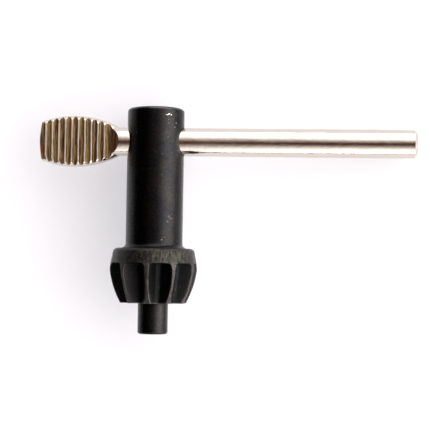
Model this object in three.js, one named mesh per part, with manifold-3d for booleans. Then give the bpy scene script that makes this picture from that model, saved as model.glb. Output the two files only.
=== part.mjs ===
// T-handle key for a geared drill chuck, as its four separate pieces: a turned shank, a bevel
// pinion, a pilot pin and a handle bar with a pressed thumb pad.
//
// Millimetres. The key's axis lies along Y, with the pilot's tip face at the origin and the shank's
// top towards +Y. The handle bar lies along X, with its thumb pad towards -X, and the pad's two
// serrated faces point along +Z and -Z.

import * as THREE from "three";
import { ConvexGeometry } from "three/addons/geometries/ConvexGeometry.js";
import { mergeVertices } from "three/addons/utils/BufferGeometryUtils.js";
import Module from "manifold-3d";

// Clearance between touching pieces.
const GAP = 0.3;

// Pilot pin: a quarter-inch dowel that centres the key in the chuck's pilot hole.
const PILOT_RADIUS = 3.175;
const PILOT_REACH = 6.5;
const PILOT_SEAT = 6.0;
const PILOT_CHAMFER = 0.5;

// Bevel pinion: ten straight teeth, closed at the large end by a plain collar.
const TOOTH_COUNT = 10;
const TOOTH_PHASE = -2.5;
const PINION_BASE = PILOT_REACH;
const PINION_WIDEST_Y = 13.7;
const PINION_WIDEST_RADIUS = 9.3;
const PINION_BASE_RADIUS = 6.95;
const TOOTH_CROWN_RADIUS = 18.5;
const TOOTH_TOP = 14.75;
const COLLAR_TOP = 18.0;
const COLLAR_TOP_RADIUS = 8.65;
const COLLAR_CORNER = 1.0;
const LAND_HALF_WIDTH = 0.55;
const ROOT_RADIUS = { large: 6.9, small: 5.7 };
const ROOT_HALF_WIDTH = { large: 0.5, small: 0.42 };
const ROOT_CORNER = 0.3;

// Shank: a plain round bar with a spigot at its foot and a cross hole near its top.
const SHANK_RADIUS = 6.0;
const SHANK_TOP = 47.5;
const SHANK_CROWN = 0.7;
const FOOT_FILLET = 1.0;
const FOOT_FILLET_SWEEP = 70;
const SPIGOT_RADIUS = 4.0;
const SPIGOT_LENGTH = 5.4;
const CROSS_HOLE_Y = 40.5;
const LEAD_IN_RADIUS = 4.4;
const LEAD_IN_DEPTH = 0.45;

// Handle bar: a 6 mm rod, about 80 mm long overall, flattened at one end.
const BAR_RADIUS = 3.0;
const BAR_LONG_END = 54.9;
const BAR_PAD_END = -24.7;
const BAR_CHAMFER = 0.6;

// Thumb pad: its plan is one arc each side, and its faces are pressed between serrated dies.
const PAD_CENTRE_X = -17.3;
const PAD_HALF_WIDTH = 5.42;
const PAD_SIDE_ARC = 20.5;
const PAD_RIM_ASPECT = 0.55;
const PAD_END_BULGE = 0.4;
const PAD_CORNER_BREAK = 0.25;
const PAD_JOIN_X = -10.2;
const PAD_OVERLAP = 2.5;
const RIDGE_COUNT = 10;
const FIRST_RIDGE_X = -23.3;
const RIDGE_PITCH = 1.39;
const RIDGE_LEVEL = 1.6;
const GROOVE_LEVEL = 0.95;
const RIDGE_TOP_WIDTH = 0.3;
const RIDGE_FOOT_WIDTH = 1.0;
const RAMP_FOOT_X = -9.6;
const RAMP_HEAD_X = -7.6;
const RAMP_HEAD_LEVEL = 3.05;

// Facets round each turned piece.
const SHANK_FACETS = 40;
const PINION_FACETS = 60;
const PILOT_FACETS = 32;
const BAR_FACETS = 28;
const PAD_END_STEPS = 3;
const PAD_STATIONS = 14;

const wasm = await Module();
wasm.setup();

// A closed geometry as a solid for the boolean operations.
function solid(geometry) {
  const bare = geometry.index ? geometry.toNonIndexed() : geometry.clone();
  bare.deleteAttribute("normal");
  bare.deleteAttribute("uv");
  const merged = mergeVertices(bare, 1e-4);
  const index = Array.from(merged.index.array);
  const triangles = [];
  for (let i = 0; i < index.length; i += 3) {
    const [a, b, c] = index.slice(i, i + 3);
    if (a !== b && b !== c && c !== a) triangles.push(a, b, c);
  }
  return new wasm.Manifold(
    new wasm.Mesh({
      numProp: 3,
      vertProperties: new Float32Array(merged.attributes.position.array),
      triVerts: new Uint32Array(triangles),
    })
  );
}

// A solid back as a geometry with flat facets.
function geometryOf(body) {
  const mesh = body.getMesh();
  const geometry = new THREE.BufferGeometry();
  geometry.setAttribute("position", new THREE.BufferAttribute(mesh.vertProperties, 3));
  geometry.setIndex(new THREE.BufferAttribute(mesh.triVerts, 1));
  geometry.computeVertexNormals();
  return geometry;
}

// A turned solid about Y from [radius, y] points that run up the outside.
function turned(profile, facets) {
  const points = profile.map(([radius, y]) => new THREE.Vector2(radius, y));
  return new THREE.LatheGeometry(points, facets);
}

// Points along an arc in the profile's plane, its angles in degrees from the radius direction.
function arc(centreRadius, centreY, radius, fromDegrees, toDegrees, steps) {
  return Array.from({ length: steps + 1 }, (_, i) => {
    const angle = THREE.MathUtils.degToRad(fromDegrees + ((toDegrees - fromDegrees) * i) / steps);
    return [centreRadius + radius * Math.cos(angle), centreY + radius * Math.sin(angle)];
  });
}

// Radius of the tooth tips at height y: an arc from the widest point down to the base.
function toothTipRadius(y) {
  const chord = Math.hypot(PINION_WIDEST_Y - PINION_BASE, PINION_WIDEST_RADIUS - PINION_BASE_RADIUS);
  const toCentre = Math.sqrt(TOOTH_CROWN_RADIUS ** 2 - (chord / 2) ** 2);
  const middleY = (PINION_WIDEST_Y + PINION_BASE) / 2;
  const middleRadius = (PINION_WIDEST_RADIUS + PINION_BASE_RADIUS) / 2;
  const rise = (PINION_WIDEST_Y - PINION_BASE) / chord;
  const run = (PINION_WIDEST_RADIUS - PINION_BASE_RADIUS) / chord;
  const centreY = middleY + toCentre * run;
  const centreRadius = middleRadius - toCentre * rise;
  return centreRadius + Math.sqrt(TOOTH_CROWN_RADIUS ** 2 - (y - centreY) ** 2);
}

// The pilot pin, chamfered at its tip.
function makePilotPin() {
  const profile = [
    [0, 0],
    [PILOT_RADIUS - PILOT_CHAMFER, 0],
    [PILOT_RADIUS, PILOT_CHAMFER],
    [PILOT_RADIUS, PILOT_REACH + PILOT_SEAT],
    [0, PILOT_REACH + PILOT_SEAT],
  ];
  return geometryOf(solid(turned(profile, PILOT_FACETS)));
}

// One gap between teeth, as a cutter at angle zero: a wedge whose floor and width shrink downwards.
function toothGap() {
  const tipAngle = Math.PI / TOOTH_COUNT;
  const section = (y, size, tipRadius, outerRadius) => {
    const edgeAngle = tipAngle - Math.asin(LAND_HALF_WIDTH / tipRadius);
    const edge = [tipRadius * Math.sin(edgeAngle), tipRadius * Math.cos(edgeAngle)];
    const rootWidth = ROOT_HALF_WIDTH[size];
    const root = ROOT_RADIUS[size];
    const slope = (edge[0] - rootWidth) / (edge[1] - root);
    const outerWidth = edge[0] + slope * (outerRadius - edge[1]);
    const half = [
      [rootWidth - ROOT_CORNER, root],
      [rootWidth + slope * ROOT_CORNER, root + ROOT_CORNER],
      [outerWidth, outerRadius],
    ];
    return half.flatMap(([t, r]) => [new THREE.Vector3(t, y, r), new THREE.Vector3(-t, y, r)]);
  };
  const clear = 1.5;
  const largeEnd = section(TOOTH_TOP, "large", PINION_WIDEST_RADIUS, PINION_WIDEST_RADIUS + clear);
  const smallEnd = section(PINION_BASE, "small", PINION_BASE_RADIUS, PINION_BASE_RADIUS + clear);
  const beyondBase = smallEnd.map((point) => point.clone().setY(PINION_BASE - clear));
  return new ConvexGeometry([...largeEnd, ...smallEnd, ...beyondBase]);
}

// The bevel pinion: a turned blank with a stepped bore, cut by a ring of tooth gaps.
function makeBevelPinion() {
  const pilotBore = PILOT_RADIUS + GAP;
  const spigotBore = SPIGOT_RADIUS + GAP;
  const boreStep = PILOT_REACH + PILOT_SEAT;
  const tipSteps = 6;
  const tips = Array.from({ length: tipSteps + 1 }, (_, i) => {
    const y = PINION_BASE + ((PINION_WIDEST_Y - PINION_BASE) * i) / tipSteps;
    return [toothTipRadius(y), y];
  });
  const collarCorner = arc(
    COLLAR_TOP_RADIUS - COLLAR_CORNER,
    COLLAR_TOP - COLLAR_CORNER,
    COLLAR_CORNER,
    8,
    90,
    4
  );
  const profile = [
    [pilotBore, PINION_BASE],
    ...tips,
    ...collarCorner,
    [spigotBore, COLLAR_TOP],
    [spigotBore, boreStep],
    [pilotBore, boreStep],
    [pilotBore, PINION_BASE],
  ];
  let pinion = solid(turned(profile, PINION_FACETS));
  for (let i = 0; i < TOOTH_COUNT; i += 1) {
    const gap = toothGap();
    gap.rotateY(THREE.MathUtils.degToRad(TOOTH_PHASE) + ((i + 0.5) * 2 * Math.PI) / TOOTH_COUNT);
    pinion = pinion.subtract(solid(gap));
  }
  return geometryOf(pinion);
}

// The shank: spigot, flared foot, plain body and crowned top, pierced by the cross hole.
function makeShank() {
  const foot = COLLAR_TOP + GAP;
  const flare = arc(
    SHANK_RADIUS + FOOT_FILLET,
    foot + FOOT_FILLET,
    FOOT_FILLET,
    180 + FOOT_FILLET_SWEEP,
    180,
    4
  );
  const profile = [
    [0, foot - SPIGOT_LENGTH],
    [SPIGOT_RADIUS, foot - SPIGOT_LENGTH],
    [SPIGOT_RADIUS, foot],
    [flare[0][0], foot],
    ...flare,
    ...arc(SHANK_RADIUS - SHANK_CROWN, SHANK_TOP - SHANK_CROWN, SHANK_CROWN, 0, 90, 4),
    [0, SHANK_TOP],
  ];
  const holeRadius = BAR_RADIUS + GAP;
  const hole = new THREE.CylinderGeometry(holeRadius, holeRadius, 4 * SHANK_RADIUS, BAR_FACETS);
  const clear = 1.0;
  const widening = ((LEAD_IN_RADIUS - holeRadius) * (LEAD_IN_DEPTH + clear)) / LEAD_IN_DEPTH;
  const leadIn = new THREE.CylinderGeometry(
    holeRadius + widening,
    holeRadius,
    LEAD_IN_DEPTH + clear,
    BAR_FACETS
  );
  leadIn.translate(0, SHANK_RADIUS - LEAD_IN_DEPTH + (LEAD_IN_DEPTH + clear) / 2, 0);
  for (const cutter of [hole, leadIn]) {
    cutter.rotateZ(Math.PI / 2);
    cutter.translate(0, CROSS_HOLE_Y, 0);
  }
  return geometryOf(solid(turned(profile, SHANK_FACETS)).subtract(solid(hole)).subtract(solid(leadIn)));
}

// Half the thumb pad's width at x, before its end is rounded.
function padHalfWidth(x) {
  return PAD_HALF_WIDTH - PAD_SIDE_ARC + Math.sqrt(PAD_SIDE_ARC ** 2 - (x - PAD_CENTRE_X) ** 2);
}

// The pad's outer form before it is pressed: a spindle about X, flattened to an oval section.
function padBlank() {
  const cornerX = BAR_PAD_END + PAD_END_BULGE + PAD_CORNER_BREAK;
  const farX = PAD_JOIN_X + PAD_OVERLAP;
  const endRadius = padHalfWidth(cornerX) - PAD_CORNER_BREAK;
  const profile = [];
  for (let i = 0; i <= PAD_END_STEPS; i += 1) {
    const t = i / PAD_END_STEPS;
    profile.push([endRadius * t, BAR_PAD_END + PAD_END_BULGE * t * t]);
  }
  for (let i = 0; i <= PAD_STATIONS; i += 1) {
    const x = cornerX + ((farX - cornerX) * i) / PAD_STATIONS;
    profile.push([padHalfWidth(x), x]);
  }
  profile.push([0, farX]);
  const blank = turned(profile, BAR_FACETS);
  blank.rotateZ(-Math.PI / 2);
  blank.scale(1, 1, PAD_RIM_ASPECT);
  return solid(blank);
}

// The upper pressing die: everything above the serrated face and its ramp up to the round bar.
function pressingDie() {
  const dieTop = 8;
  const dieEnd = BAR_PAD_END - 2;
  const die = new THREE.Shape();
  die.moveTo(dieEnd, dieTop);
  die.lineTo(dieEnd, GROOVE_LEVEL);
  for (let i = 0; i < RIDGE_COUNT; i += 1) {
    const x = FIRST_RIDGE_X + i * RIDGE_PITCH;
    die.lineTo(x - RIDGE_FOOT_WIDTH / 2, GROOVE_LEVEL);
    die.lineTo(x - RIDGE_TOP_WIDTH / 2, RIDGE_LEVEL);
    die.lineTo(x + RIDGE_TOP_WIDTH / 2, RIDGE_LEVEL);
    die.lineTo(x + RIDGE_FOOT_WIDTH / 2, GROOVE_LEVEL);
  }
  die.lineTo(RAMP_FOOT_X, GROOVE_LEVEL);
  die.lineTo(RAMP_HEAD_X, RAMP_HEAD_LEVEL);
  die.lineTo(RAMP_HEAD_X, dieTop);
  die.closePath();
  const depth = 3 * PAD_HALF_WIDTH;
  const block = new THREE.ExtrudeGeometry(die, { depth, bevelEnabled: false });
  block.translate(0, 0, -depth / 2);
  block.rotateX(Math.PI / 2);
  return block;
}

// The handle bar: a chamfered rod joined to the pad's blank, then pressed from both faces.
function makeHandleBar() {
  const profile = [
    [0, PAD_JOIN_X],
    [BAR_RADIUS, PAD_JOIN_X],
    [BAR_RADIUS, BAR_LONG_END - BAR_CHAMFER],
    [BAR_RADIUS - BAR_CHAMFER, BAR_LONG_END],
    [0, BAR_LONG_END],
  ];
  const rod = turned(profile, BAR_FACETS);
  rod.rotateZ(-Math.PI / 2);
  const upperDie = pressingDie();
  const lowerDie = upperDie.clone().rotateX(Math.PI);
  const bar = solid(rod).add(padBlank()).subtract(solid(upperDie)).subtract(solid(lowerDie));
  return geometryOf(bar).translate(0, CROSS_HOLE_Y, 0);
}

function piece(name, geometry, color, roughness, metalness) {
  const material = new THREE.MeshStandardMaterial({ color, roughness, metalness });
  const mesh = new THREE.Mesh(geometry, material);
  mesh.name = name;
  return mesh;
}

const key = new THREE.Group();
key.add(
  piece("pilot_pin", makePilotPin(), 0x1d1b19, 0.45, 0.8),
  piece("bevel_pinion", makeBevelPinion(), 0x23211d, 0.55, 0.8),
  piece("shank", makeShank(), 0x1a1a1b, 0.45, 0.8),
  piece("handle_bar", makeHandleBar(), 0xd9d4cb, 0.2, 1.0)
);

export default key;
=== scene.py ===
"""The look of a T-handle drill chuck key: black oxide body, plated bar with a serrated thumb pad."""

import math

import bpy
import numpy as np
from bpy.props import FloatProperty, FloatVectorProperty, PointerProperty
from mathutils import Matrix, Vector


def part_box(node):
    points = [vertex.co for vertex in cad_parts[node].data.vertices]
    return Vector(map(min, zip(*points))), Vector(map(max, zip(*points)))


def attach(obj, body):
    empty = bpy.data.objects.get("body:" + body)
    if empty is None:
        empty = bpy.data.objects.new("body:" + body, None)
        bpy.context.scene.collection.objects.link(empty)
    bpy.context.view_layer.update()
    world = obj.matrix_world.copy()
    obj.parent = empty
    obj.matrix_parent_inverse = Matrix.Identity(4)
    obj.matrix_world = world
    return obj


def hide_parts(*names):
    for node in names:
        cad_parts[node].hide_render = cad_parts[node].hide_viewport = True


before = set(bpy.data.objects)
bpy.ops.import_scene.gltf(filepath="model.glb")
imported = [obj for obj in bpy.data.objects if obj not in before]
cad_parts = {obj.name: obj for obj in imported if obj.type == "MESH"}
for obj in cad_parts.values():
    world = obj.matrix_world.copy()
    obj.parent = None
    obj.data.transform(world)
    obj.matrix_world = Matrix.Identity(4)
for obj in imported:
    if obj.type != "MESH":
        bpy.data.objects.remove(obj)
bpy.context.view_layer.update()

bl_info = {
    "name": "Drill Chuck Key",
    "version": (1, 0, 0),
    "blender": (4, 5, 0),
    "location": "View3D > Sidebar > Chuck Key",
    "description": "Builds the finished pieces of a drill chuck key round its CAD frame",
    "category": "Add Mesh",
}

MM = 0.001
BODY = "root"

# Where the CAD says that things are.
PILOT_LOW, PILOT_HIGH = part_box("pilot_pin")
PINION_LOW, PINION_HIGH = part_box("bevel_pinion")
SHANK_LOW, SHANK_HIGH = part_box("shank")
BAR_LOW, BAR_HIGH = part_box("handle_bar")
BAR_AXIS_Y = (BAR_LOW.y + BAR_HIGH.y) / 2
BASE_Y = PINION_LOW.y
COLLAR_Y = PINION_HIGH.y

# Teeth, and how far they are turned round the axis.
TOOTH_COUNT = 10
TOOTH_PHASE = math.radians(-2.5)
GAP_ANGLE = math.tau / TOOTH_COUNT

# Points round each piece.
PILOT_POINTS = 128
SHANK_POINTS = 256
HOLE_POINTS = 160
PINION_POINTS = TOOTH_COUNT * 48
BAR_POINTS = 160

# The smallest ring at a turned end, the seam under the shank's foot, and the fit of the bar.
AXIS_RADIUS = 0.05 * MM
FOOT_SEAM = 0.06 * MM
BAR_FIT = 0.04 * MM

# Marks on the finishes, in millimetres in the key's frame, as (centre, radii).
RAMP_STAIN = ((-8.7, BAR_AXIS_Y / MM, 1.6), (1.1, 4.0, 2.6))
RUST_SPOT = ((-24.0, BAR_AXIS_Y / MM - 1.9, 1.0), (0.75, 0.95, 1.2))

# Chips in the oxide, in millimetres in the key's frame, as (centre, radii, strength).
SHANK_CHIPS = (
    ((2.9, 45.75, 5.2), (0.26, 0.11, 0.5), 0.9),
    ((3.3, 45.9, 5.0), (0.22, 0.10, 0.5), 0.9),
    ((3.65, 45.75, 4.8), (0.16, 0.09, 0.5), 0.8),
    ((4.4, 43.2, 4.1), (0.12, 0.12, 0.3), 0.35),
    ((4.65, 44.1, 3.8), (0.08, 0.16, 0.3), 0.3),
    ((-3.5, 42.0, 4.9), (0.15, 0.14, 0.3), 0.2),
    ((-2.1, 34.3, 5.6), (0.10, 0.30, 0.3), 0.25),
    ((3.6, 24.6, 4.8), (0.09, 0.26, 0.4), 0.14),
    ((3.9, 24.1, 4.6), (0.20, 0.09, 0.4), 0.12),
    ((3.3, 23.5, 5.0), (0.12, 0.12, 0.4), 0.14),
    ((2.2, 19.7, 5.6), (0.12, 0.10, 0.4), 0.4),
)
PINION_CHIPS = (
    ((-0.9, 12.9, 9.3), (0.2, 0.18, 0.5), 0.4),
    ((-4.0, 8.6, 6.9), (0.16, 0.16, 0.5), 0.3),
)


def length(name, description, default):
    """A size that a user may change, in metres."""
    return FloatProperty(name=name, description=description, default=default, unit="LENGTH", precision=5)


def colour(name, description, default):
    """A linear colour that a user may change."""
    return FloatVectorProperty(
        name=name, description=description, default=default, subtype="COLOR", size=3, min=0, max=1
    )


class ChuckKeySizes(bpy.types.PropertyGroup):
    """Sizes of the key's pieces."""

    pilot_radius: length("Pilot radius", "Half the width of the pilot pin", 3.175 * MM)
    pilot_corner: length("Pilot corner", "Rounding of the pilot's tip", 0.5 * MM)
    shank_radius: length("Shank radius", "Half the width of the shank", 6.0 * MM)
    shank_crown: length("Shank crown", "Rounding of the shank's top edge", 0.75 * MM)
    foot_fillet: length("Foot fillet", "Hollow round the shank's foot", 1.0 * MM)
    spigot_radius: length("Spigot radius", "Half the width of the shank's spigot", 4.0 * MM)
    lead_in_radius: length("Lead-in radius", "Mouth of the cross hole on the pad's side", 4.5 * MM)
    lead_in_depth: length("Lead-in depth", "Depth of that mouth below the shank's side", 0.5 * MM)
    pinion_radius: length("Pinion radius", "Widest radius over the teeth", 9.3 * MM)
    pinion_base_radius: length("Pinion base radius", "Radius over the teeth at the base", 6.95 * MM)
    bar_radius: length("Bar radius", "Half the width of the handle bar", 3.0 * MM)
    bar_chamfer: length("Bar chamfer", "Chamfer at the bar's long end", 0.6 * MM)
    pad_half_width: length("Pad half width", "Half the width of the thumb pad", 5.42 * MM)
    ridge_level: length("Ridge level", "Height of the serration ridges over the bar's axis", 1.6 * MM)
    groove_level: length("Groove level", "Height of the groove floors over the bar's axis", 0.95 * MM)


class ChuckKeyFinishes(bpy.types.PropertyGroup):
    """Colours of the key's finishes."""

    oxide: colour("Black oxide", "Black oxide on turned steel", (0.0150, 0.0150, 0.0175))
    oxide_bloom: colour("Oxide bloom", "Olive bloom on the black oxide", (0.027, 0.0255, 0.0215))
    rubbed_land: colour("Rubbed land", "Rubbed oxide on the teeth's lands", (0.080, 0.068, 0.069))
    rubbed_collar: colour("Rubbed collar", "Olive sheen on the collar", (0.046, 0.043, 0.033))
    bare_steel: colour("Bare steel", "Steel where the oxide has worn off", (0.55, 0.54, 0.50))
    nickel: colour("Nickel", "Warm nickel plate", (0.68, 0.615, 0.555))
    tarnish: colour("Tarnish", "Brown tarnish in the serrations", (0.30, 0.175, 0.080))
    olive_tarnish: colour("Olive tarnish", "Olive patches in the tarnish", (0.24, 0.17, 0.07))
    dark_tarnish: colour("Dark tarnish", "Dark streaks in the tarnish", (0.050, 0.022, 0.009))
    ramp_tarnish: colour("Ramp tarnish", "Red-brown tarnish on the pad's ramp", (0.21, 0.080, 0.028))
    rust: colour("Rust", "Rust at the pad's corner", (0.20, 0.058, 0.014))
    paper: colour("Paper", "The pale ground", (0.44, 0.44, 0.44))
    glow: colour("Glow", "Light that comes up through the ground", (0.55, 0.54, 0.575))


# ---------------------------------------------------------------------------- mesh helpers


def smooth_max(a, b, blend):
    """The larger of a and b, rounded where they meet."""
    return np.maximum(a, b) + np.maximum(blend - np.abs(a - b), 0) ** 2 / (4 * blend)


def smooth_min(a, b, blend):
    """The smaller of a and b, rounded where they meet."""
    return np.minimum(a, b) - np.maximum(blend - np.abs(a - b), 0) ** 2 / (4 * blend)


def smooth_step(low, high, value):
    """0 below low, 1 above high, and a smooth rise between them."""
    t = np.clip((value - low) / (high - low), 0, 1)
    return t * t * (3 - 2 * t)


def arc_points(centre_radius, centre_y, radius, start, stop, steps):
    """[radius, y] points on an arc, its angles in degrees from the radius direction."""
    angles = np.radians(np.linspace(start, stop, steps))
    return np.column_stack([centre_radius + radius * np.cos(angles), centre_y + radius * np.sin(angles)])


def ring_angles(count):
    """Angles round the axis, from +Z."""
    return np.linspace(0, math.tau, count, endpoint=False)


def turned_rings(profile, count):
    """Rings about Y from [radius, y] points that run up the outside."""
    angles = ring_angles(count)
    radius, along = np.asarray(profile, float).T
    rings = np.empty((len(radius), count, 3))
    rings[:, :, 0] = radius[:, None] * np.sin(angles)
    rings[:, :, 1] = along[:, None]
    rings[:, :, 2] = radius[:, None] * np.cos(angles)
    return rings


def rows_between(start, stop, spacing):
    """Evenly spaced values after start, up to and with stop."""
    steps = max(1, math.ceil(abs(stop - start) / spacing))
    return np.linspace(start, stop, steps + 1)[1:]


def mesh_from_rings(name, rings, closed=False, fields=None, sharp_degrees=35):
    """A smooth-shaded object skinned over rings of points; closed joins the last ring to the first.

    fields are named values for each point, as arrays of the rings' shape, for the materials to read.
    """
    ring_count, around, _ = rings.shape
    points = rings.reshape(-1, 3)
    ring = np.arange(ring_count if closed else ring_count - 1)[:, None]
    j = np.arange(around)[None, :]
    next_ring = (ring + 1) % ring_count
    next_j = (j + 1) % around
    quads = np.stack(
        [ring * around + j, ring * around + next_j, next_ring * around + next_j, next_ring * around + j],
        axis=-1,
    ).reshape(-1, 4)
    faces = [quads]
    caps = []
    if not closed:
        first, last = len(points), len(points) + 1
        points = np.vstack([points, rings[0].mean(0), rings[-1].mean(0)])
        start = np.arange(around)
        after = (start + 1) % around
        offset = (ring_count - 1) * around
        caps = [
            np.column_stack([np.full(around, first), after, start]),
            np.column_stack([np.full(around, last), offset + start, offset + after]),
        ]
    loops = np.concatenate([quads.ravel()] + [cap.ravel() for cap in caps]).astype(np.int32)
    sizes = np.concatenate(
        [np.full(len(quads), 4, np.int32)] + [np.full(len(cap), 3, np.int32) for cap in caps]
    )
    mesh = bpy.data.meshes.new(name)
    mesh.vertices.add(len(points))
    mesh.vertices.foreach_set("co", points.astype(np.float32).ravel())
    mesh.loops.add(len(loops))
    mesh.loops.foreach_set("vertex_index", loops)
    mesh.polygons.add(len(sizes))
    starts = np.concatenate([[0], np.cumsum(sizes)[:-1]]).astype(np.int32)
    mesh.polygons.foreach_set("loop_start", starts)
    mesh.update(calc_edges=True)
    mesh.validate()
    for field_name, values in (fields or {}).items():
        padded = np.zeros(len(points), np.float32)
        padded[: values.size] = values.ravel()
        attribute = mesh.attributes.new(field_name, "FLOAT", "POINT")
        attribute.data.foreach_set("value", padded)
    mesh.shade_smooth()
    mesh.set_sharp_from_angle(angle=math.radians(sharp_degrees))
    piece = bpy.data.objects.new(name, mesh)
    bpy.context.scene.collection.objects.link(piece)
    return piece


def finish_piece(piece, node, material):
    """Gives a piece its material and stands it in for its CAD node."""
    piece.data.materials.clear()
    piece.data.materials.append(material)
    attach(piece, BODY)
    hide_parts(node)


# ---------------------------------------------------------------------------- shader helpers


class Value:
    """A shader socket that can stand in Python arithmetic, which adds Math nodes to its tree."""

    def __init__(self, socket):
        self.socket = socket

    def math(self, operation, *others, clamp=False):
        tree = self.socket.id_data
        node = tree.nodes.new("ShaderNodeMath")
        node.operation = operation
        node.use_clamp = clamp
        for slot, operand in zip(node.inputs, (self, *others)):
            if isinstance(operand, Value):
                tree.links.new(operand.socket, slot)
            else:
                slot.default_value = operand
        return Value(node.outputs[0])

    def __add__(self, other):
        return self.math("ADD", other)

    __radd__ = __add__

    def __mul__(self, other):
        return self.math("MULTIPLY", other)

    __rmul__ = __mul__

    def __sub__(self, other):
        return self.math("SUBTRACT", other)

    def __rsub__(self, other):
        return self.math("MULTIPLY", -1).math("ADD", other)

    def clamped(self):
        return self.math("ADD", 0.0, clamp=True)

    def larger(self, other):
        return self.math("MAXIMUM", other)


class Nodes:
    """A node tree under construction, emptied first."""

    def __init__(self, owner):
        owner.use_nodes = True
        self.tree = owner.node_tree
        self.tree.nodes.clear()

    def node(self, kind, settings=None, output=0, **sockets):
        """Adds a node: its settings are set first, then its sockets, named with _ for a space."""
        node = self.tree.nodes.new(kind)
        for key, value in (settings or {}).items():
            setattr(node, key, value)
        for key, value in sockets.items():
            slot = node.inputs[int(key[1:])] if key[1:].isdigit() else node.inputs[key.replace("_", " ")]
            if isinstance(value, Value):
                self.tree.links.new(value.socket, slot)
            else:
                slot.default_value = value
        return Value(node.outputs[output]) if node.outputs else node

    def ramp(self, value, low, high):
        """0 where value is low and 1 where it is high, smoothly."""
        return self.node(
            "ShaderNodeMapRange",
            {"interpolation_type": "SMOOTHSTEP"},
            Value=value,
            From_Min=low,
            From_Max=high,
        )


class Finish(Nodes):
    """A material under construction."""

    def __init__(self, name):
        self.material = bpy.data.materials.new(name)
        super().__init__(self.material)

    def position(self, stretch=(1, 1, 1)):
        """The point in millimetres in the key's own frame, stretched along its axes."""
        place = self.node("ShaderNodeTexCoord", output=3)
        scale = tuple(component / MM for component in stretch)
        return self.node("ShaderNodeVectorMath", {"operation": "MULTIPLY"}, _0=place, _1=scale)

    def noise(self, scale, stretch=(1, 1, 1), detail=3.0, roughness=0.55):
        """Noise from 0 to 1, its scale in lumps per millimetre."""
        return self.node(
            "ShaderNodeTexNoise",
            Vector=self.position(stretch),
            Scale=scale,
            Detail=detail,
            Roughness=roughness,
        )

    def field(self, name):
        """A named value that the mesh carries."""
        return self.node("ShaderNodeAttribute", {"attribute_name": name}, output=2)

    def mix(self, factor, first, second):
        """A colour between first and second."""
        low, high = (side if isinstance(side, Value) else (*side, 1.0) for side in (first, second))
        return self.node(
            "ShaderNodeMix", {"data_type": "RGBA"}, output=2, _0=factor, _6=low, _7=high
        )

    def spot(self, centre, radii, edge=0.35):
        """1 inside an ellipsoid of the key's frame, in millimetres, fading to 0 at its edge."""
        offset = self.node(
            "ShaderNodeVectorMath", {"operation": "SUBTRACT"}, _0=self.position(), _1=tuple(centre)
        )
        scaled = self.node(
            "ShaderNodeVectorMath", {"operation": "DIVIDE"}, _0=offset, _1=tuple(radii)
        )
        reach = self.node("ShaderNodeVectorMath", {"operation": "LENGTH"}, output=1, _0=scaled)
        return 1 - self.ramp(reach, 1 - edge, 1 + edge)

    def bump(self, height, distance):
        """A normal from heights, whose full height is distance in millimetres."""
        return self.node("ShaderNodeBump", Height=height, Distance=distance * MM, Strength=1.0)

    def surface(self, **sockets):
        """Ends the material with a Principled surface."""
        shader = self.node("ShaderNodeBsdfPrincipled", **sockets)
        self.node("ShaderNodeOutputMaterial", Surface=shader)
        return self.material


# ---------------------------------------------------------------------------- finishes


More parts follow.
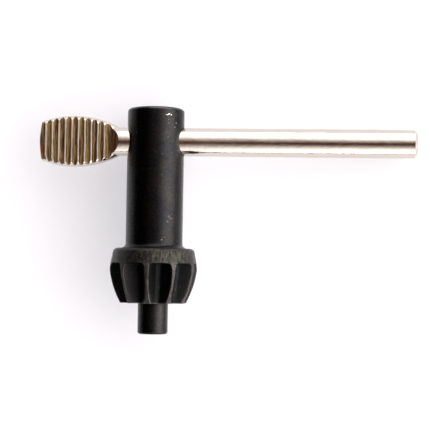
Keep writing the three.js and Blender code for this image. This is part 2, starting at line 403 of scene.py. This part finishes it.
def black_oxide(name, finishes, grain=0.6, turning=0.5, rubbed=0.0, chips=()):
    """Black oxide over steel: olive bloom, grain, specks, rubbed places, and bare metal at chips.

    The coating is dark and metallic, so its base colour tints what it reflects. rubbed, from 0 to 1,
    is how worn it is outside the tooth gaps, and a piece with no depth field counts as all outside.
    With rubbed set, the tooth gaps also get painted shade, darker the deeper they are.
    """
    finish = Finish(name)
    bloom = finish.ramp(finish.noise(0.30, detail=4), 0.40, 0.68)
    mottle = finish.noise(1.9, detail=5, roughness=0.75)
    cloud = (bloom * 0.55 + finish.ramp(mottle, 0.42, 0.70) * 0.45).clamped()
    base = finish.mix(cloud, finishes.oxide, finishes.oxide_bloom)
    grit = finish.noise(6.0, detail=4, roughness=0.8)
    base = finish.mix(finish.ramp(grit, 0.60, 0.34) * 0.45, base, [c * 0.3 for c in finishes.oxide])
    edge_noise = finish.noise(2.6, detail=4, roughness=0.7)
    if rubbed:
        depth = finish.field("depth")
        height = finish.node("ShaderNodeSeparateXYZ", output=1, Vector=finish.position())
        collar = finish.ramp(height, PinionShape.tooth_top - 0.2, PinionShape.tooth_top + 0.2)
        brushed = finish.noise(1.5, stretch=(1.8, 0.35, 1.8), detail=5, roughness=0.7)
        pebbled = finish.noise(3.4, detail=4, roughness=0.75)
        patchy = finish.ramp(brushed * collar + pebbled * (1 - collar), 0.42, 0.58)
        sheen = finish.mix(collar, finishes.rubbed_land, finishes.rubbed_collar)
        shown = (1 - finish.ramp(depth, 0.02, 0.14)) * patchy * rubbed
        base = finish.mix(shown, base, sheen)
        # Painted shade: the tooth gaps darken the deeper they are, down to a fraction of the oxide's
        # colour.
        base = finish.mix(finish.ramp(depth, 0.05, 0.55) * 0.55, base, [c * 0.4 for c in finishes.oxide])
    speck = finish.ramp(finish.noise(3.3, detail=1), 0.755, 0.785)
    dust = finish.ramp(finish.noise(8.0, detail=2), 0.69, 0.77)
    worn = finish.ramp(finish.field("edge") * 0.72 + edge_noise * 0.5, 0.70, 1.02)
    bare = (speck * 0.3).larger(worn * 0.10).larger(dust * (0.12 + 0.10 * rubbed))
    if rubbed:
        scratch = finish.noise(2.6, stretch=(2.2, 0.25, 2.2), detail=3)
        bare = bare.larger(finish.ramp(scratch, 0.62, 0.72) * collar * 0.16)
    ragged = finish.ramp(finish.noise(5.0, detail=3, roughness=0.7), 0.44, 0.52)
    for centre, radii, strength in chips:
        bare = bare.larger(finish.spot(centre, radii) * ragged * strength)
    base = finish.mix(bare.clamped(), base, finishes.bare_steel)
    micro = finish.noise(7.0, detail=5, roughness=0.7)
    rings = finish.noise(3.2, stretch=(0.02, 1, 0.02), detail=3)
    normal = finish.bump(micro * grain + rings * turning, 0.05)
    rough = (0.18 + micro * 0.12 + mottle * 0.08 + rubbed * 0.06).clamped()
    return finish.surface(Base_Color=base, Metallic=1.0, Roughness=rough, Normal=normal)


def nickel_plate(name, finishes):
    """Bright plate with drawn lines and pits, scuffed on the ridges and tarnished in the grooves."""
    finish = Finish(name)
    stain = finish.noise(0.9, detail=4)
    groove = finish.field("groove")
    streak = finish.noise(2.4, stretch=(1.4, 0.07, 0.3), detail=3, roughness=0.6)
    fleck = finish.noise(3.4, stretch=(1.2, 0.7, 1.0), detail=4, roughness=0.75)
    tarnished = (groove * finish.ramp(fleck * 0.6 + stain * 0.4, 0.22, 0.40)).clamped()
    brown = finish.mix(finish.ramp(stain, 0.42, 0.60), finishes.tarnish, finishes.olive_tarnish)
    ramp_part = finish.spot(*RAMP_STAIN, edge=0.15)
    brown = finish.mix(ramp_part * finish.ramp(fleck, 0.62, 0.45), brown, finishes.ramp_tarnish)
    brown = finish.mix(finish.ramp(streak, 0.47, 0.58) * 0.92, brown, finishes.dark_tarnish)
    brown = finish.mix(finish.ramp(fleck, 0.60, 0.74) * 0.3, brown, finishes.nickel)
    rusty = finish.spot(*RUST_SPOT, edge=0.8)
    brown = finish.mix((rusty * (0.6 + fleck * 0.9)).clamped(), brown, finishes.rust)
    pit = finish.ramp(finish.noise(2.6, detail=2), 0.74, 0.78)
    plate = finish.mix(pit * 0.6, finishes.nickel, [c * 0.35 for c in finishes.nickel])
    base = finish.mix(tarnished, plate, brown)
    drawn = finish.noise(3.5, stretch=(0.06, 1, 1), detail=4, roughness=0.65)
    ripple = finish.noise(0.55, stretch=(0.6, 1, 1), detail=3)
    dimple = finish.noise(3.0, detail=3)
    height = drawn * 0.35 + ripple * 2.3 + dimple * 0.45 + tarnished * streak * 2.0
    normal = finish.bump(height, 0.02)
    crest = finish.field("crest")
    haze = finish.ramp(finish.noise(0.45, stretch=(0.5, 1, 1), detail=4), 0.40, 0.68)
    rough = (0.06 + haze * 0.15 + pit * 0.2 + tarnished * 0.40 + crest * 0.36).clamped()
    return finish.surface(
        Base_Color=base, Metallic=(1 - tarnished * 0.45).clamped(), Roughness=rough, Normal=normal
    )


# ---------------------------------------------------------------------------- pieces


class CHUCKKEY_OT_pilot_pin(bpy.types.Operator):
    """Build the pilot pin"""

    bl_idname = "chuck_key.pilot_pin"
    bl_label = "Pilot Pin"

    def execute(self, context):
        sizes, finishes = context.scene.chuck_key_sizes, context.scene.chuck_key_finishes
        radius = sizes.pilot_radius
        corner = sizes.pilot_corner
        tip = PILOT_LOW.y
        profile = np.vstack(
            [
                [[AXIS_RADIUS, tip], [radius * 0.5, tip], [radius - corner * 1.3, tip]],
                arc_points(radius - corner, tip + corner, corner, -90, 0, 10),
                [[radius, y] for y in rows_between(tip + corner, PILOT_HIGH.y, 0.5 * MM)],
                [[AXIS_RADIUS, PILOT_HIGH.y]],
            ]
        )
        piece = mesh_from_rings("pilot_pin_finished", turned_rings(profile, PILOT_POINTS))
        material = black_oxide("pilot_oxide", finishes, grain=0.8, rubbed=0.15)
        finish_piece(piece, "pilot_pin", material)
        return {"FINISHED"}


def shank_profile(sizes):
    """The shank's outline from the spigot up, in metres."""
    radius = sizes.shank_radius
    foot = COLLAR_Y + FOOT_SEAM
    crown = sizes.shank_crown
    fillet = sizes.foot_fillet
    flare = arc_points(radius + fillet, foot + fillet, fillet, 250, 180, 10)
    body = [[radius, y] for y in rows_between(foot + fillet, SHANK_HIGH.y - crown, 0.6 * MM)]
    return np.vstack(
        [
            [[AXIS_RADIUS, SHANK_LOW.y], [sizes.spigot_radius, SHANK_LOW.y]],
            [[sizes.spigot_radius, foot]],
            [[flare[0][0], foot]],
            flare,
            body,
            arc_points(radius - crown, SHANK_HIGH.y - crown, crown, 0, 90, 12)[1:],
            [[radius * r, SHANK_HIGH.y] for r in (0.75, 0.5, 0.25)],
            [[AXIS_RADIUS, SHANK_HIGH.y]],
        ]
    )


def cross_hole_rings(sizes):
    """The cross hole's cutter along X: a rounded lead-in on the pad's side, and a small exit break."""
    side = sizes.shank_radius
    hole = sizes.bar_radius + BAR_FIT
    mouth = sizes.lead_in_radius
    depth = sizes.lead_in_depth
    lead = [
        [mouth + (mouth - hole) * 0.8, -side - 1.2 * MM],
        [mouth, -side + 0.02 * MM],
    ]
    steps = np.linspace(0, 1, 10)[1:]
    curve = [[hole + (mouth - hole) * (1 - t) ** 2.2, -side + depth * t] for t in steps]
    end = [
        [hole, side - 0.75 * MM],
        [hole + 0.12 * MM, side - 0.6 * MM],
        [hole + 0.3 * MM, side + 1.2 * MM],
    ]
    profile = np.array(lead + curve + end)
    angles = ring_angles(HOLE_POINTS)
    rings = np.empty((len(profile), len(angles), 3))
    rings[:, :, 0] = profile[:, 1][:, None]
    rings[:, :, 1] = BAR_AXIS_Y - profile[:, 0][:, None] * np.sin(angles)
    rings[:, :, 2] = profile[:, 0][:, None] * np.cos(angles)
    return rings


class CHUCKKEY_OT_shank(bpy.types.Operator):
    """Build the shank, with its foot, crown and cross hole"""

    bl_idname = "chuck_key.shank"
    bl_label = "Shank"

    def execute(self, context):
        sizes, finishes = context.scene.chuck_key_sizes, context.scene.chuck_key_finishes
        profile = shank_profile(sizes)
        rings = turned_rings(profile, SHANK_POINTS)
        top = smooth_step(SHANK_HIGH.y - 1.3 * MM, SHANK_HIGH.y - 0.2 * MM, rings[:, :, 1])
        rim = np.hypot(rings[:, :, 0], rings[:, :, 2])
        top *= smooth_step(sizes.shank_radius * 0.8, sizes.shank_radius * 0.92, rim)
        piece = mesh_from_rings("shank_finished", rings, fields={"edge": top})
        cutter = mesh_from_rings("cross_hole_cutter", cross_hole_rings(sizes))
        cut = piece.modifiers.new("Cross hole", "BOOLEAN")
        cut.operation = "DIFFERENCE"
        cut.solver = "EXACT"
        cut.object = cutter
        depsgraph = bpy.context.evaluated_depsgraph_get()
        pierced = bpy.data.meshes.new_from_object(piece.evaluated_get(depsgraph))
        piece.modifiers.clear()
        piece.data = pierced
        bpy.data.objects.remove(cutter)
        pierced.set_sharp_from_angle(angle=math.radians(30))
        material = black_oxide("shank_oxide", finishes, chips=SHANK_CHIPS)
        finish_piece(piece, "shank", material)
        return {"FINISHED"}


class PinionShape:
    """The bevel pinion as a radius at each angle and height, in millimetres."""

    base = BASE_Y / MM
    widest = 13.7
    tooth_top = 14.75
    collar_top = COLLAR_Y / MM
    collar_radius = 8.65
    collar_corner = 1.0
    crown = 18.5
    land = 0.55
    ceiling_corner = 0.85
    root = {"large": 6.9, "small": 5.7}
    root_half = {"large": 0.5, "small": 0.42}

    def __init__(self, sizes):
        self.radius = sizes.pinion_radius / MM
        self.base_radius = sizes.pinion_base_radius / MM

    def tip_radius(self, y):
        """Radius over the tooth tips, an arc from the widest point to the base, then the collar."""
        rise = self.widest - self.base
        run = self.radius - self.base_radius
        chord = math.hypot(rise, run)
        reach = math.sqrt(self.crown**2 - (chord / 2) ** 2)
        centre_y = (self.widest + self.base) / 2 + reach * run / chord
        centre_radius = (self.radius + self.base_radius) / 2 - reach * rise / chord
        teeth = centre_radius + np.sqrt(self.crown**2 - (y - centre_y) ** 2)
        corner_y = self.collar_top - self.collar_corner
        slope = (self.collar_radius - self.radius) / (corner_y - self.widest)
        collar = self.radius + slope * (y - self.widest)
        return smooth_min(teeth, collar, 0.15)

    def gap_radius(self, angle, y):
        """Radius of the gaps' floors and flanks; angle is from the nearest gap's middle."""
        t = np.clip((y - self.base) / (self.tooth_top - self.base), -0.2, 1.1)
        edges = {}
        for end, radius in (("large", self.radius), ("small", self.base_radius)):
            edge_angle = math.pi / TOOTH_COUNT - math.asin(self.land / radius)
            edges[end] = (radius * math.sin(edge_angle), radius * math.cos(edge_angle))
        edge_side = edges["small"][0] + (edges["large"][0] - edges["small"][0]) * t
        edge_out = edges["small"][1] + (edges["large"][1] - edges["small"][1]) * t
        root = self.root["small"] + (self.root["large"] - self.root["small"]) * t
        half = self.root_half["small"] + (self.root_half["large"] - self.root_half["small"]) * t
        slope = (edge_side - half) / (edge_out - root)
        side = np.abs(angle)
        floor = root / np.cos(side)
        flank = (slope * root - half) / np.maximum(slope * np.cos(side) - np.sin(side), 0.02)
        tip = self.tip_radius(y)
        past_bend = tip * (side - math.pi / TOOTH_COUNT) + self.land + self.ceiling_corner
        turn = np.clip(past_bend / self.ceiling_corner, 0, 1)
        drop = self.ceiling_corner * (1 - np.sqrt(1 - turn**2))
        wall = root + (y - self.tooth_top + 0.12 + drop) * 9.0
        return smooth_max(smooth_max(floor, flank, 0.35), wall, 0.55)

    def surface(self, angle, y):
        """(radius, edge, depth): the finished radius, how near a tooth's edge, and how deep in a gap."""
        nearest = np.mod(angle - TOOTH_PHASE, GAP_ANGLE) - GAP_ANGLE / 2
        tip = self.tip_radius(y)
        gap = self.gap_radius(nearest, y)
        radius = smooth_min(tip, gap, 0.16)
        edge = np.exp(-(((gap - tip) / 0.16) ** 2)) * (y < self.tooth_top + 0.6)
        depth = np.clip((tip - radius) / 2.2, 0, 1)
        return radius, edge, depth


class CHUCKKEY_OT_bevel_pinion(bpy.types.Operator):
    """Build the bevel pinion, with its teeth and collar"""

    bl_idname = "chuck_key.bevel_pinion"
    bl_label = "Bevel Pinion"

    def execute(self, context):
        sizes, finishes = context.scene.chuck_key_sizes, context.scene.chuck_key_finishes
        shape = PinionShape(sizes)
        angles = ring_angles(PINION_POINTS)
        rings, edges, depths = [], [], []

        def add(radius, y, edge=0.0, depth=0.0):
            radius = np.broadcast_to(radius, angles.shape)
            y = np.broadcast_to(y, angles.shape)
            rings.append(np.column_stack([radius * np.sin(angles), y, radius * np.cos(angles)]) * MM)
            edges.append(np.broadcast_to(edge, angles.shape))
            depths.append(np.broadcast_to(depth, angles.shape))

        bore = sizes.pilot_radius / MM + 0.03
        seat = sizes.spigot_radius / MM + 0.05
        corner = 0.14
        foot = shape.surface(angles, np.full_like(angles, shape.base + corner))[0]
        for share in np.linspace(0, 1, 12):
            add(bore + (foot - corner - bore) * share, shape.base)
        for turn in np.linspace(0, math.pi / 2, 6)[1:]:
            add(foot - corner * (1 - math.sin(turn)), shape.base + corner * (1 - math.cos(turn)), 0.8)
        corner_y = shape.collar_top - shape.collar_corner
        heights = np.concatenate(
            [
                rows_between(shape.base + corner, shape.tooth_top - 0.55, 0.14),
                rows_between(shape.tooth_top - 0.55, shape.tooth_top + 0.35, 0.03),
                rows_between(shape.tooth_top + 0.35, corner_y - 0.1, 0.14),
            ]
        )
        for y in heights:
            radius, edge, depth = shape.surface(angles, np.full_like(angles, y))
            add(radius, y, edge, depth)
        flat_radius = float(shape.tip_radius(np.array(corner_y))) - shape.collar_corner
        for radius, y in arc_points(flat_radius, corner_y, shape.collar_corner, 0, 90, 16):
            add(radius, y, 0.25)
        for share in np.linspace(0, 1, 8)[1:]:
            add(flat_radius + (seat - flat_radius) * share, shape.collar_top)
        step = PILOT_HIGH.y / MM
        add(seat, step)
        add(bore, step)
        fields = {"edge": np.array(edges), "depth": np.array(depths)}
        piece = mesh_from_rings("bevel_pinion_finished", np.array(rings), closed=True, fields=fields)
        material = black_oxide(
            "pinion_oxide", finishes, grain=1.9, turning=0.1, rubbed=1.0, chips=PINION_CHIPS
        )
        finish_piece(piece, "bevel_pinion", material)
        return {"FINISHED"}


class BarShape:
    """The handle bar in millimetres: a rod whose one end is pressed into a serrated pad."""

    centre = -17.3
    side_arc = 20.5
    aspect = 0.55
    end_bulge = 0.4
    corner_break = 0.25
    ridge_count = 10
    first_ridge = -23.3
    pitch = 1.39
    ridge_top = 0.08
    ridge_foot = 0.50
    ramp_foot = -9.6
    ramp_head = -7.6

    def __init__(self, sizes):
        self.radius = sizes.bar_radius / MM
        self.half_width = sizes.pad_half_width / MM
        self.ridge = sizes.ridge_level / MM
        self.groove = sizes.groove_level / MM
        self.pad_end = BAR_LOW.x / MM
        self.long_end = BAR_HIGH.x / MM
        self.chamfer = sizes.bar_chamfer / MM

    def width(self, x):
        """Half the pad's width at x."""
        from_centre = np.clip(x - self.centre, -self.side_arc, self.side_arc)
        return self.half_width - self.side_arc + np.sqrt(self.side_arc**2 - from_centre**2)

    def crests(self, x, y):
        """(ridge, line): 1 on a ridge and 0 on a groove's floor, and a narrower line on the crest."""
        ridge, line = np.zeros_like(x), np.zeros_like(x)
        for i in range(self.ridge_count):
            wander = 0.018 * np.sin(0.9 * y + 2.3 * i) + 0.008 * np.sin(2.7 * y + 1.1 * i)
            away = np.abs(x - (self.first_ridge + i * self.pitch) - wander)
            height = 1.0 if i < self.ridge_count - 1 else 0.75
            ridge = np.maximum(ridge, height * (1 - smooth_step(self.ridge_top, self.ridge_foot, away)))
            line = np.maximum(line, 1 - smooth_step(0.07, 0.17, away))
        return ridge, line

    def level(self, x, y):
        """(height, line): how high the pressed face stands at x, y, and the ridges' crests."""
        ridge, line = self.crests(x, y)
        face = self.groove + (self.ridge - self.groove) * ridge
        slope = (self.radius - self.groove) / (self.ramp_head - self.ramp_foot)
        ramp = self.groove + slope * (x - self.ramp_foot)
        return smooth_max(face, ramp, 0.12), line

    def ring(self, x, scale, angles):
        """(points, groove, crest) of one section; scale shrinks it towards the axis."""
        width = np.maximum(self.width(x), 0.5)
        rod = np.full_like(angles, self.radius)
        oval = 1 / np.hypot(np.sin(angles) / width, np.cos(angles) / (self.aspect * width))
        reach = scale * (smooth_max(oval, rod, 0.08) if x < 0 else rod)
        y = -reach * np.sin(angles)
        z = reach * np.cos(angles)
        level, line = self.level(np.full_like(y, x), y)
        height = smooth_min(np.abs(z), level, 0.06)
        pressed = smooth_step(0.0, 0.05, np.abs(z) - level) * (x < self.ramp_head + 0.1)
        pressed = np.maximum(pressed, smooth_step(-24.0, -24.35, x) * 0.8)
        points = np.column_stack([np.full_like(y, x), y + BAR_AXIS_Y / MM, np.copysign(height, z)])
        return points * MM, pressed * (1 - line), pressed * line


class CHUCKKEY_OT_handle_bar(bpy.types.Operator):
    """Build the handle bar, with its pressed thumb pad"""

    bl_idname = "chuck_key.handle_bar"
    bl_label = "Handle Bar"

    def execute(self, context):
        sizes, finishes = context.scene.chuck_key_sizes, context.scene.chuck_key_finishes
        shape = BarShape(sizes)
        angles = ring_angles(BAR_POINTS)
        stations = []
        corner_x = shape.pad_end + shape.end_bulge
        full = float(shape.width(np.array(corner_x + shape.corner_break)))
        share = (full - shape.corner_break) / full
        for t in np.linspace(0.02, 1, 14):
            stations.append((shape.pad_end + shape.end_bulge * t * t, share * t))
        for turn in np.linspace(0, math.pi / 2, 6)[1:]:
            across = 1 - (1 - share) * (1 - math.sin(turn))
            stations.append((corner_x + shape.corner_break * (1 - math.cos(turn)), across))
        for x in rows_between(corner_x + shape.corner_break, shape.ramp_head + 0.3, 0.035):
            stations.append((x, 1.0))
        for x in rows_between(shape.ramp_head + 0.3, shape.long_end - shape.chamfer, 1.0):
            stations.append((x, 1.0))
        for t in np.linspace(0, 1, 7)[1:]:
            inset = shape.chamfer * t
            stations.append((shape.long_end - shape.chamfer + inset, 1 - inset / shape.radius))
        for t in (0.8, 0.5, 0.2):
            stations.append((shape.long_end, (1 - shape.chamfer / shape.radius) * t))
        made = [shape.ring(x, scale, angles) for x, scale in stations]
        rings, grooves, crests = (np.array(part) for part in zip(*made))
        fields = {"groove": grooves, "crest": crests}
        piece = mesh_from_rings("handle_bar_finished", rings, fields=fields, sharp_degrees=42)
        finish_piece(piece, "handle_bar", nickel_plate("bar_nickel", finishes))
        return {"FINISHED"}


# ---------------------------------------------------------------------------- stage

CAMERA_TARGET = Vector((12.8, 25.2, 0.0)) * MM
CAMERA_DISTANCE = 267.3 * MM
CAMERA_LENS = 106.3
CAMERA_SENSOR = 36
CAMERA_PITCH = math.radians(2.6)
CAMERA_ROLL = math.radians(3.9)
CAMERA_TURN = math.radians(0.9)

# The tent's brightness and colours, and where its parts begin and end along X, or along Z for the hem.
TENT_WALLS = 4.2
TENT_LEAN = 0.14
TENT_SIDE = 6.2
TENT_OPENING = (-0.5, 0.18)
TENT_SIDE_REACH = (0.32, 0.98)
TENT_HEM = (-0.08, 0.05)
TENT_OVERHEAD = (0.095, 0.046, 0.029)
TENT_OVERHEAD_REACH = (-0.60, -0.18)
TENT_CLOTH = (1.0, 0.985, 0.97)


# Half the ground's side, in metres, and where the collar touches it, as (height, radius).
GROUND_HALF = 2.5
COLLAR_CONTACT = (COLLAR_Y - 3.2 * MM, 9.2 * MM)


def resting_plane(sizes):
    """(normal, offset) of the bench under the collar, the shank's top rim and the bar's end."""
    collar = COLLAR_CONTACT
    rim = (SHANK_HIGH.y - sizes.shank_crown, sizes.shank_radius)
    bar = BAR_HIGH.x - sizes.bar_chamfer
    pitch = (rim[1] - collar[1]) / (rim[0] - collar[0])
    normal = Vector((0, 0, 1))
    for _ in range(20):
        across = math.hypot(normal.x, normal.z)
        normal.y = pitch * across
        offset = normal.y * collar[0] - collar[1] * across
        lean = sizes.bar_radius * math.hypot(normal.y, normal.z)
        normal.x = (offset + lean - normal.y * BAR_AXIS_Y) / bar
        normal.normalize()
    return normal, normal.y * collar[0] - collar[1] * math.hypot(normal.x, normal.z)


def camera_axes():
    """(right, up, back) of the camera in the key's frame."""
    back = Vector(
        (
            math.sin(CAMERA_ROLL) * math.cos(CAMERA_PITCH),
            -math.sin(CAMERA_PITCH),
            math.cos(CAMERA_ROLL) * math.cos(CAMERA_PITCH),
        )
    ).normalized()
    up = (Vector((0, 1, 0)) - back * back.y).normalized()
    right = up.cross(back)
    turned_right = right * math.cos(CAMERA_TURN) + up * math.sin(CAMERA_TURN)
    turned_up = up * math.cos(CAMERA_TURN) - right * math.sin(CAMERA_TURN)
    return turned_right, turned_up, back


def add_camera():
    """A long-lens camera over the key."""
    data = bpy.data.cameras.new("bench_camera")
    data.lens = CAMERA_LENS
    data.sensor_width = CAMERA_SENSOR
    data.clip_start = 0.01
    data.clip_end = 20
    camera = bpy.data.objects.new("bench_camera", data)
    right, up, back = camera_axes()
    turn = Matrix((right, up, back)).transposed().to_4x4()
    camera.matrix_world = Matrix.Translation(CAMERA_TARGET + back * CAMERA_DISTANCE) @ turn
    bpy.context.scene.collection.objects.link(camera)
    bpy.context.scene.camera = camera


def studio_world():
    """A white tent that is open overhead and on the thumb pad's side; the camera sees it plain."""
    world = bpy.data.worlds.new("studio_tent")
    nodes = Nodes(world)
    direction = nodes.node("ShaderNodeTexCoord", output=0)
    x, y, z = (nodes.node("ShaderNodeSeparateXYZ", output=axis, Vector=direction) for axis in range(3))
    lean = y + TENT_LEAN
    walls = lean * lean * TENT_WALLS * nodes.ramp(x, *TENT_OPENING)
    side = nodes.ramp(x, *TENT_SIDE_REACH) * TENT_SIDE
    hem = nodes.ramp(z, *TENT_HEM)
    above = nodes.ramp(x, *TENT_OVERHEAD_REACH) * 0.92 + 0.08
    overhead = nodes.node("ShaderNodeBackground", Color=(*TENT_OVERHEAD, 1), Strength=above)
    cloth = nodes.node("ShaderNodeBackground", Color=(*TENT_CLOTH, 1), Strength=(walls + side) * hem)
    tent = nodes.node("ShaderNodeAddShader", _0=overhead, _1=cloth)
    plain = nodes.node("ShaderNodeBackground", Color=(1, 1, 1, 1))
    seen = nodes.node("ShaderNodeLightPath", output=0)
    nodes.node(
        "ShaderNodeOutputWorld",
        Surface=nodes.node("ShaderNodeMixShader", _0=seen, _1=tent, _2=plain),
    )
    return world


class CHUCKKEY_OT_stage(bpy.types.Operator):
    """Build the pale ground, the tent of light and the camera"""

    bl_idname = "chuck_key.stage"
    bl_label = "Stage"

    def execute(self, context):
        sizes, finishes = context.scene.chuck_key_sizes, context.scene.chuck_key_finishes
        normal, offset = resting_plane(sizes)
        mesh = bpy.data.meshes.new("paper_ground")
        half = GROUND_HALF
        corners = [(-half, -half, 0), (half, -half, 0), (half, half, 0), (-half, half, 0)]
        mesh.from_pydata(corners, [], [(0, 1, 2, 3)])
        ground = bpy.data.objects.new("paper_ground", mesh)
        ground.rotation_mode = "QUATERNION"
        ground.rotation_quaternion = normal.to_track_quat("Z", "Y")
        ground.location = normal * offset
        bpy.context.scene.collection.objects.link(ground)
        finish = Finish("paper")
        fibre = finish.noise(3.0, detail=3)
        ground.data.materials.append(
            finish.surface(
                Base_Color=(*finishes.paper, 1),
                Roughness=0.9,
                Normal=finish.bump(fibre, 0.01),
                Emission_Color=(*finishes.glow, 1),
                Emission_Strength=1.0,
            )
        )
        bpy.context.scene.world = studio_world()
        bpy.context.scene.view_settings.view_transform = "Standard"
        add_camera()
        return {"FINISHED"}


class CHUCKKEY_PT_panel(bpy.types.Panel):
    """Lists the key's sizes, finishes and build steps."""

    bl_idname = "CHUCKKEY_PT_panel"
    bl_label = "Drill Chuck Key"
    bl_space_type = "VIEW_3D"
    bl_region_type = "UI"
    bl_category = "Chuck Key"

    def draw(self, context):
        for operator in PIECES:
            self.layout.operator(operator.bl_idname)
        for group in (context.scene.chuck_key_sizes, context.scene.chuck_key_finishes):
            column = self.layout.column(align=True)
            for name in group.__annotations__:
                column.prop(group, name)


PIECES = (
    CHUCKKEY_OT_stage,
    CHUCKKEY_OT_shank,
    CHUCKKEY_OT_bevel_pinion,
    CHUCKKEY_OT_pilot_pin,
    CHUCKKEY_OT_handle_bar,
)
CLASSES = (ChuckKeySizes, ChuckKeyFinishes, *PIECES, CHUCKKEY_PT_panel)


def register():
    for cls in CLASSES:
        bpy.utils.register_class(cls)
    bpy.types.Scene.chuck_key_sizes = PointerProperty(type=ChuckKeySizes)
    bpy.types.Scene.chuck_key_finishes = PointerProperty(type=ChuckKeyFinishes)


def unregister():
    del bpy.types.Scene.chuck_key_finishes
    del bpy.types.Scene.chuck_key_sizes
    for cls in reversed(CLASSES):
        bpy.utils.unregister_class(cls)


def main():
    register()
    bpy.ops.chuck_key.stage()
    bpy.ops.chuck_key.shank()
    bpy.ops.chuck_key.bevel_pinion()
    bpy.ops.chuck_key.pilot_pin()
    bpy.ops.chuck_key.handle_bar()


if __name__ == "__main__":
    main()
